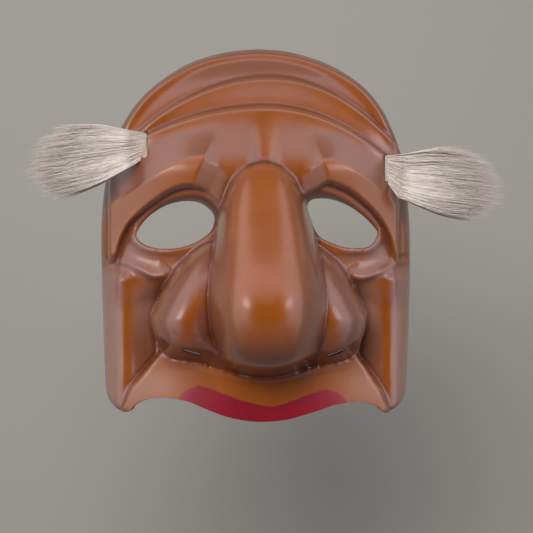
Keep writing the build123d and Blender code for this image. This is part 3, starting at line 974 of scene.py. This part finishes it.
def make_hair(side):
    """A tuft of separate strands that rise out of the slot and fan out over the temple."""
    rng = random.Random(TUFTS[side]["seed"])
    slot_x, slot_y, slot_length, _ = SLOTS[side]
    out = -1 if side == "left" else 1
    root_z = relief(slot_x, slot_y)
    middle_y = slot_y + TUFTS[side]["shift"]
    tip = Vector(TUFTS[side]["tip"])
    fan_width = table(FAN[side], 1)
    fan_depth = table(FAN[side], 2)
    curve = bpy.data.curves.new(f"tuft_{side}", "CURVE")
    curve.dimensions = "3D"
    curve.bevel_depth = STRAND * MM
    curve.bevel_resolution = 0
    locks = [(rng.uniform(-1, 1), rng.uniform(-1, 1), rng.gauss(0, 0.13), rng.gauss(0, 0.25),
              rng.uniform(0.84, 1.0)) for _ in range(LOCKS)]
    steps = len(TAPER)
    for _ in range(STRANDS):
        lock = rng.choice(locks)
        across = max(-1.0, min(1.0, lock[0] + rng.gauss(0, 0.20)))
        depth = max(-1.0, min(1.0, lock[1] + rng.gauss(0, 0.30)))
        reach = lock[4] * rng.uniform(0.60, 1.0) * (1.0 - 0.22 * across ** 4)
        bend_y = lock[2] + rng.gauss(0, 0.10)
        bend_z = lock[3] + rng.gauss(0, 0.16)
        spline = curve.splines.new("POLY")
        spline.points.add(steps - 1)
        for k, radius in enumerate(TAPER):
            share = k / (steps - 1) * reach
            width = fan_width(share)
            thick = fan_depth(share)
            x = slot_x + out * 0.4 + tip.x * share
            y = middle_y + tip.y * share + (across + bend_y * share * share) * width
            z = root_z + tip.z * share + 2.6 * ease(0.0, 0.06, share) + thick * 0.8 * ease(0.0, 0.1, share)
            z += depth * thick * 0.8 + bend_z * 3 * share ** 2
            if k == 0:
                x = slot_x + rng.uniform(-0.6, 0.6)
                y = slot_y + across * slot_length * 0.44
                z = root_z - 2.0
            spline.points[k].co = (x * MM, y * MM, z * MM, 1.0)
            spline.points[k].radius = radius
    carrier = bpy.data.objects.new(f"tuft_{side}_curve", curve)
    bpy.context.collection.objects.link(carrier)
    mesh = bpy.data.meshes.new_from_object(carrier)
    bpy.data.objects.remove(carrier)
    piece = bpy.data.objects.new(f"tuft_{side}_strands", mesh)
    bpy.context.collection.objects.link(piece)
    return piece


SKIN_MARGIN = 4.0
SKIN_THICKNESS = 1.4
GLUE = 0.2


def make_hide(side):
    """The strip of skin glued inside over the slot."""
    x, y, length, width = SLOTS[side]
    bm = bmesh.new()
    bmesh.ops.create_grid(bm, x_segments=10, y_segments=20, size=1.0)
    half = (width / 2 + SKIN_MARGIN, length / 2 + SKIN_MARGIN)
    for vert in bm.verts:
        px = vert.co.x
        py = vert.co.y
        reach_x = half[0] * (1.0 - 0.10 * abs(py) ** 6)
        reach_y = half[1] * (1.0 - 0.08 * abs(px) ** 6)
        vert.co = (x + px * reach_x, y + py * reach_y, 0.0)
    for vert in bm.verts:
        vert.co.z = hollow(vert.co.x, vert.co.y, LEATHER + GLUE)
    bmesh.ops.solidify(bm, geom=bm.faces[:] + bm.edges[:] + bm.verts[:], thickness=SKIN_THICKNESS)
    bmesh.ops.recalc_face_normals(bm, faces=bm.faces)
    bmesh.ops.scale(bm, vec=(MM, MM, MM), verts=bm.verts)
    return finish_mesh(bm, f"tuft_{side}_skin")


# ---- build
shell = make_shell()
paint_attributes(shell)
shell.data.materials.append(leather_finish())
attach(shell, "root")
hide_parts("mask_shell")

hair_material = hair_finish()
hide_material = hide_finish()
for side in TUFTS:
    hair = make_hair(side)
    hair.data.materials.append(hair_material)
    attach(hair, "root")
    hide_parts(f"tuft_{side}_hair")
    hide = make_hide(side)
    hide.data.materials.append(hide_material)
    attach(hide, "root")
    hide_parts(f"tuft_{side}_hide")

brass = brass_finish()
for side in TUFTS:
    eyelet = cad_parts[f"strap_eyelet_{side}"]
    eyelet.data.materials.clear()
    eyelet.data.materials.append(brass)


# ---- stage, light and camera
FLOOR_DROP = 0.45           # the floor lies this far under the mask, so that it is light through the eyes
ROOM = {                    # brightness of the room by height, then from the chin's side to the crown's
    "Z": [(0.0, (1.0, 0.92, 0.98)), (0.62, (0.95, 0.88, 1.0)), (0.78, (0.36, 0.32, 0.38)),
          (0.90, (0.04, 0.035, 0.03))],
    "Y": [(-0.75, (0.18, 0.16, 0.18)), (-0.3, (0.72, 0.72, 0.72)), (0.0, (1.0, 1.0, 1.0)),
          (0.86, (1.0, 1.0, 1.0)), (0.94, (0.14, 0.13, 0.14))],
}
ROOM_FILL = 0.50            # how bright the room is as light, and as a reflection
ROOM_GLOSS = 1.0
LIGHT_AIM = (0, 0, 0.05)
EYE_HEIGHT = 0.7            # of the camera over the rim
VIEW_WIDTH = 0.2913         # across the rim's plane
VIEW_SHIFT = (0.0197, -0.0591)  # shares of the picture's width


def make_floor():
    bm = bmesh.new()
    bmesh.ops.create_grid(bm, x_segments=1, y_segments=1, size=3.0)
    bmesh.ops.translate(bm, vec=(0.0, 0.0, -FLOOR_DROP), verts=bm.verts)
    floor = finish_mesh(bm, "floor")
    finish = Finish("pale_floor")
    finish.set("Base Color", (0.55, 0.55, 0.49, 1))
    finish.set("Roughness", 0.9)
    finish.set("Specular IOR Level", 0.1)
    floor.data.materials.append(finish.material)


def make_light(name, place, size, power, colour, glossy=True):
    light = bpy.data.lights.new(name, "AREA")
    light.shape = "RECTANGLE"
    light.size, light.size_y = size
    light.energy = power
    light.color = colour
    lamp = bpy.data.objects.new(name, light)
    lamp.location = place
    direction = Vector(LIGHT_AIM) - Vector(place)
    lamp.rotation_euler = direction.to_track_quat("-Z", "Y").to_euler()
    lamp.visible_glossy = glossy
    bpy.context.collection.objects.link(lamp)


def make_world():
    """A soft room: a dim ceiling straight above, pale walls round it, and a darker wall below the chin."""
    world = bpy.data.worlds.new("room")
    world.use_nodes = True
    nodes = world.node_tree.nodes
    links = world.node_tree.links
    direction = nodes.new("ShaderNodeTexCoord")
    parts = nodes.new("ShaderNodeSeparateXYZ")
    links.new(direction.outputs["Generated"], parts.inputs[0])
    ramps = []
    for axis, stops in ROOM.items():
        ramp = nodes.new("ShaderNodeValToRGB")
        shift = nodes.new("ShaderNodeMapRange")
        shift.inputs["From Min"].default_value = -1.0
        links.new(parts.outputs[axis], shift.inputs["Value"])
        links.new(shift.outputs["Result"], ramp.inputs["Fac"])
        while len(ramp.color_ramp.elements) < len(stops):
            ramp.color_ramp.elements.new(0.5)
        for element, (place, colour) in zip(ramp.color_ramp.elements, stops):
            element.position = (place + 1.0) / 2.0
            element.color = (*colour, 1.0)
        ramps.append(ramp)
    product = nodes.new("ShaderNodeMix")
    product.data_type = "RGBA"
    product.blend_type = "MULTIPLY"
    product.inputs[0].default_value = 1.0
    links.new(ramps[0].outputs["Color"], product.inputs[6])
    links.new(ramps[1].outputs["Color"], product.inputs[7])
    links.new(product.outputs[2], nodes["Background"].inputs["Color"])
    rays = nodes.new("ShaderNodeLightPath")
    strength = nodes.new("ShaderNodeMapRange")
    strength.inputs["To Min"].default_value = ROOM_FILL
    strength.inputs["To Max"].default_value = ROOM_GLOSS
    links.new(rays.outputs["Is Glossy Ray"], strength.inputs["Value"])
    links.new(strength.outputs["Result"], nodes["Background"].inputs["Strength"])
    bpy.context.scene.world = world


def make_camera():
    data = bpy.data.cameras.new("camera")
    data.sensor_width = 36.0
    data.lens = data.sensor_width * EYE_HEIGHT / VIEW_WIDTH
    data.shift_x, data.shift_y = VIEW_SHIFT
    data.clip_start = 0.01
    camera = bpy.data.objects.new("camera", data)
    camera.location = (0.0, 0.0, EYE_HEIGHT)
    bpy.context.collection.objects.link(camera)
    bpy.context.scene.camera = camera


make_floor()
make_world()
make_light("key", (-0.15, 0.42, 0.95), (0.5, 0.4), 8.0, (1.0, 0.98, 0.95), glossy=False)
make_light("left_window", (-0.9, 0.25, 0.9), (0.3, 0.5), 1.5, (1.0, 0.98, 0.95))
make_light("right_window", (0.9, 0.25, 0.9), (0.3, 0.5), 1.0, (0.97, 0.98, 1.0))
make_camera()
bpy.context.scene.view_settings.view_transform = "Standard"
